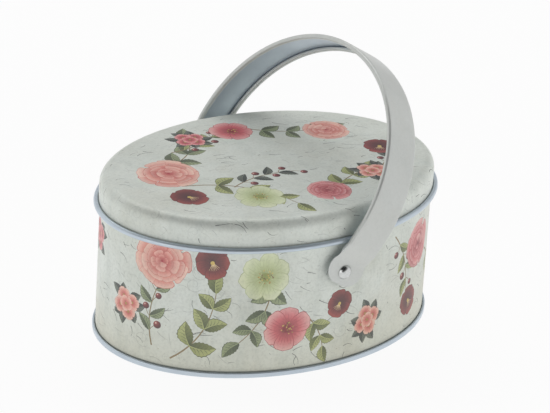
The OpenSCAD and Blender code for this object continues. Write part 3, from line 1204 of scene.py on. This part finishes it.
def rivet(name, side):
    """Rivet with a domed head outside and a flattened end inside."""
    tail = BACKING_IN - TAIL_H
    profile = [(TAIL_R * DISH_SHARE, tail + DISH_DEPTH), (TAIL_R * FLAT_SHARE, tail)]
    profile += [(TAIL_R, tail + TAIL_BEVEL), (TAIL_R, BACKING_IN), (SHANK_R, BACKING_IN), (SHANK_R, HEAD_Y)]
    profile += [(HEAD_R - HEAD_BEVEL, HEAD_Y), (HEAD_R, HEAD_Y + HEAD_BEVEL)]
    for t in np.sqrt(np.linspace(*DOME_SHARES, DOME_STEPS)):
        profile.append((HEAD_R * t, HEAD_Y + HEAD_BEVEL + (HEAD_H - HEAD_BEVEL) * (1 - t ** DOME)))
    points = []
    for r, y in profile:
        for j in range(RIVET_STEPS):
            a = FULL_TURN * j / RIVET_STEPS
            points.append((r * math.cos(a), side * y, PIVOT_Z + r * math.sin(a)))
    top = len(points)
    points += [(0, side * (HEAD_Y + HEAD_H), PIVOT_Z), (0, side * (tail + DISH_MIDDLE), PIVOT_Z)]
    faces = [f[:1] + f[:0:-1] for f in tube(len(profile), RIVET_STEPS)]
    last = top - RIVET_STEPS
    faces += [(last + j, last + (j + 1) % RIVET_STEPS, top) for j in range(RIVET_STEPS)]
    faces += [((j + 1) % RIVET_STEPS, j, top + 1) for j in range(RIVET_STEPS)]
    if side > 0:
        faces = [f[::-1] for f in faces]
    shell = Shell(GROUND)
    shell.add(points, faces, 0)
    return shell.make(name, [STEEL], SHARP_SMALL)


for piece, body, node, slot in (
    (wall(), "tin", "body_wall", "printed_wall"),
    (base(), "tin", "base_panel", "bare_tinplate"),
    (lid(), "lid", "lid", "printed_lid"),
    (handle(), "handle", "handle_strap", "printed_strap"),
    (rivet("rivet_front", -1), "tin", "front_rivet", "bright_steel"),
    (rivet("rivet_rear", 1), "tin", "rear_rivet", "bright_steel"),
):
    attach(piece, body)
    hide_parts(node)

for name in ("front_spacer", "rear_spacer", "front_backing", "rear_backing"):
    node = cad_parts[name]
    node.data.materials.clear()
    node.data.materials.append(STEEL)

# Floor
FLOOR_SIZE = 8
FLOOR_TONE = (0.9, 0.9, 0.9, 1)
FLOOR_ROUGH = 0.9
FLOOR_GLOW = 0.93

bpy.ops.mesh.primitive_plane_add(size=FLOOR_SIZE)
floor = bpy.context.object
floor.name = "floor"
paper, tree, shader = material("floor_white")
shader.inputs["Base Color"].default_value = FLOOR_TONE
shader.inputs["Roughness"].default_value = FLOOR_ROUGH
glow = tree.nodes.new("ShaderNodeEmission")
both = blended(tree, shader.outputs[0], glow.outputs[0])
both.inputs["Fac"].default_value = FLOOR_GLOW
tree.links.new(both.outputs[0], tree.nodes["Material Output"].inputs["Surface"])
floor.data.materials.append(paper)

# World: white behind, below and at the sides, dim above the camera, with a card beyond for reflections
DIM_TOWARDS = (-0.3, -0.45, 0.84)
DIM_RANGE = (0.25, 0.75)
DIM_LEVELS = (1.0, 0.02)
SOFT_GAIN = 1.08
CARD_TOWARDS = (0.53, 0.74, 0.41)
CARD_RANGE = (0.7, 0.92)
CARD_LEVELS = (1.0, 0.5)

world = bpy.data.worlds.new("studio")
bpy.context.scene.world = world
world.use_nodes = True
tree = world.node_tree
tree.nodes.remove(tree.nodes["Background"])
direction = tree.nodes.new("ShaderNodeTexCoord").outputs["Generated"]
level = remap(tree, cosine(tree, direction, DIM_TOWARDS), *DIM_RANGE, *DIM_LEVELS)
lit = product(tree, level)
lit.inputs[1].default_value = SOFT_GAIN
soft = backdrop(tree)
tree.links.new(lit.outputs[0], soft.inputs["Strength"])
card = product(tree, level)
shade = remap(tree, cosine(tree, direction, CARD_TOWARDS), *CARD_RANGE, *CARD_LEVELS)
tree.links.new(shade, card.inputs[1])
gloss = backdrop(tree)
tree.links.new(card.outputs[0], gloss.inputs["Strength"])
white = backdrop(tree)
path = tree.nodes.new("ShaderNodeLightPath")
first = blended(tree, soft.outputs[0], gloss.outputs[0])
tree.links.new(path.outputs["Is Glossy Ray"], first.inputs["Fac"])
second = blended(tree, first.outputs[0], white.outputs[0])
tree.links.new(path.outputs["Is Camera Ray"], second.inputs["Fac"])
tree.links.new(second.outputs[0], tree.nodes["World Output"].inputs["Surface"])

# Lights, in metres and watts
WALL_MIDDLE = (0, 0, 0.04)
LID_MIDDLE = (0, 0, 0.05)


def area(name, place, target, size, power, mirrored=True):
    """Square light turned to a target, with or without its own mirror image."""
    light = bpy.data.lights.new(name, "AREA")
    light.energy = power
    light.size = size
    obj = bpy.data.objects.new(name, light)
    obj.location = place
    obj.visible_glossy = mirrored
    obj.rotation_euler = (Vector(target) - Vector(place)).to_track_quat("-Z", "Y").to_euler()
    bpy.context.scene.collection.objects.link(obj)


area("back", place=(0.25, 0.8, 1.5), target=LID_MIDDLE, size=1.4, power=9)
area("left", place=(-1.5, -0.5, 0.2), target=WALL_MIDDLE, size=1.6, power=8)
area("right", place=(0.9, -1.4, 0.2), target=WALL_MIDDLE, size=1.8, power=8, mirrored=False)

# Camera, in metres, with a sensor and lens in millimetres
SENSOR = 36
LENS = 210.87
CAMERA_PLACE = (-0.68498, -0.96506, 0.57664)
CAMERA_RIGHT = (0.827, -0.5593, 0.0568)
CAMERA_UP = (0.186, 0.3676, 0.9112)
CAMERA_BACK = (-0.5305, -0.743, 0.4081)

camera = bpy.data.objects.new("camera", bpy.data.cameras.new("camera"))
camera.data.sensor_fit = "HORIZONTAL"
camera.data.sensor_width = SENSOR
camera.data.lens = LENS
turn = Matrix((CAMERA_RIGHT, CAMERA_UP, CAMERA_BACK)).transposed()
camera.matrix_world = Matrix.Translation(CAMERA_PLACE) @ turn.to_4x4()
bpy.context.scene.collection.objects.link(camera)
bpy.context.scene.camera = camera
bpy.context.scene.view_settings.view_transform = "Standard"
